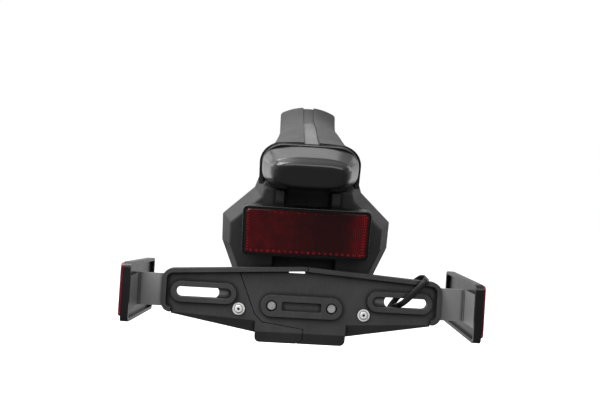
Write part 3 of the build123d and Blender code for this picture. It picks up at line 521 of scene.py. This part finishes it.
# Section, as shares of the width and the thickness
tie_section = [
    (0.5, 0.3), (0.42, 0.5), (-0.42, 0.5), (-0.5, 0.3),
    (-0.5, -0.3), (-0.42, -0.5), (0.42, -0.5), (0.5, -0.3),
]


def smooth_loop(points, steps):
    """Points on a closed smooth curve through the given ones."""
    made = []
    for i in range(len(points)):
        ends = [points[(i + k) % len(points)] for k in (-1, 0, 1, 2)]
        made.extend(spline(*ends, step / steps) for step in range(steps))
    return made


def cable_tie():
    across = (tie_head - tie_foot).normalized().cross(Y)
    points = [(tie_foot.lerp(tie_head, t) + Y * y + across * shift) * MM for t, y, shift in tie_route]
    line = smooth_loop(points, TIE_STEPS)
    form = bmesh.new()
    rings = []
    for i, point in enumerate(line):
        along = (line[(i + 1) % len(line)] - line[i - 1]).normalized()
        outward = along.cross(across).normalized()
        rings.append([
            form.verts.new(point + across * a * TIE_WIDTH + outward * b * TIE_THICKNESS)
            for a, b in tie_section
        ])
    for i, ring in enumerate(rings):
        join_rings(form, ring, rings[(i + 1) % len(rings)])
    piece = new_piece("cable_tie", form, tie_nylon)
    for polygon in piece.data.polygons:
        polygon.use_smooth = True


cable_tie()


# Floor and backdrop

FLOOR_Z, FLOOR_RADIUS = -0.16, 6.0
BACKDROP_RADIUS = 8.0
WHITE = (1, 1, 1, 1)


def staged(name, form, material):
    """A stage object that only the camera sees, so that the world and the lights alone set the light."""
    mesh = bpy.data.meshes.new(name)
    form.to_mesh(mesh)
    form.free()
    made = bpy.data.objects.new(name, mesh)
    scene.collection.objects.link(made)
    mesh.materials.append(material)
    made.visible_diffuse = made.visible_glossy = made.visible_transmission = made.visible_shadow = False
    return made


pale = Shader("pale_floor", Roughness=0.9, Emission_Strength=0.6, Emission_Color=WHITE)
pale.colour(pale.ramp(pale.noise(3.0), [(0.3, 0.80), (0.7, 0.84)]))
form = bmesh.new()
bmesh.ops.create_circle(form, cap_ends=True, segments=64, radius=FLOOR_RADIUS)
floor = staged("floor", form, pale.material)
floor.location = (0, 0, FLOOR_Z)

white = Shader("white_backdrop", Roughness=1.0, Emission_Strength=1.0, Emission_Color=WHITE)
white.colour(white.ramp(white.noise(1.0), [(0.3, 0.0), (0.7, 0.01)]))
form = bmesh.new()
bmesh.ops.create_uvsphere(form, u_segments=48, v_segments=24, radius=BACKDROP_RADIUS)
staged("backdrop", form, white.material)


# World: a gradient by height, darker on the camera's side and to the right

world = bpy.data.worlds.new("studio")
scene.world = world
world.use_nodes = True
studio = Nodes(world.node_tree)
background = studio.tree.nodes["Background"]
to_right, to_front, to_top = studio.parts(studio.node("ShaderNodeTexCoord").outputs["Generated"])
height = studio.span(to_top, 0.0, 1.0, -1.0, 1.0)
camera_side = studio.ramp(height, [
    (0.0, 0.14), (0.3, 0.20), (0.45, 0.10), (0.6, 0.20), (0.8, 0.55), (1.0, 0.8),
])
far_side = studio.ramp(height, [
    (0.0, 0.14), (0.3, 0.28), (0.45, 0.70), (0.53, 0.66), (0.63, 0.45), (0.8, 0.55), (1.0, 0.8),
])
share = studio.span(to_front, 0.0, 1.0, -0.85, -0.3)
studio.join(studio.mix(share, camera_side, far_side), background.inputs["Color"])
studio.join(studio.span(to_right, 1.3, 0.7, -1.0, 1.0), background.inputs["Strength"])


# Lights

def area_light(name, place, target, size, power):
    data = bpy.data.lights.new(name, "AREA")
    data.shape = "RECTANGLE"
    data.size, data.size_y = size
    data.energy = power
    light = bpy.data.objects.new(name, data)
    light.location = place
    light.rotation_euler = (Vector(target) - Vector(place)).to_track_quat("-Z", "Y").to_euler()
    scene.collection.objects.link(light)


area_light("key", (-0.55, -0.40, 0.85), (0, 0, 0.04), (0.7, 0.7), 13.5)
area_light("fill", (0.15, -0.95, 0.45), (0, 0, 0.04), (1.0, 0.5), 3.6)
area_light("top", (-0.15, 0.62, 0.98), (0, 0, 0.08), (0.9, 0.8), 2.2)
area_light("crown", (-0.32, 0.04, 1.00), (0, 0, 0.10), (0.85, 0.5), 1.8)
area_light("left_wall", (-0.95, 0.50, 0.60), (0, 0, 0.08), (0.5, 0.8), 3.0)
area_light("right_wall", (0.95, 0.50, 0.55), (0, 0, 0.08), (0.3, 0.8), 2.1)
area_light("left_flank", (-0.58, 0.68, 0.05), (0, 0, 0.09), (0.5, 0.6), 0.8)
area_light("right_flank", (0.58, 0.68, 0.05), (0, 0, 0.09), (0.4, 0.6), 0.5)


# Camera

CAMERA_PLACE = Vector((-17.0, -500.0, 72.5)) * MM
YAW, ROLL = math.radians(1.3), math.radians(3.3)
SENSOR = 36.0
FOCAL_PIXELS, PICTURE_PIXELS = 671.0, 600.0

forward = Vector((math.sin(YAW), math.cos(YAW), 0))
level = Vector((math.cos(YAW), -math.sin(YAW), 0))
upward = level.cross(forward)
side = level * math.cos(ROLL) + upward * math.sin(ROLL)
top = upward * math.cos(ROLL) - level * math.sin(ROLL)
lens = bpy.data.cameras.new("camera")
lens.sensor_width = SENSOR
lens.lens = SENSOR * FOCAL_PIXELS / PICTURE_PIXELS
lens.clip_start, lens.clip_end = 0.01, 50.0
camera = bpy.data.objects.new("camera", lens)
turn = Matrix((side, top, -forward)).transposed()
camera.matrix_world = Matrix.Translation(CAMERA_PLACE) @ turn.to_4x4()
scene.collection.objects.link(camera)
scene.camera = camera
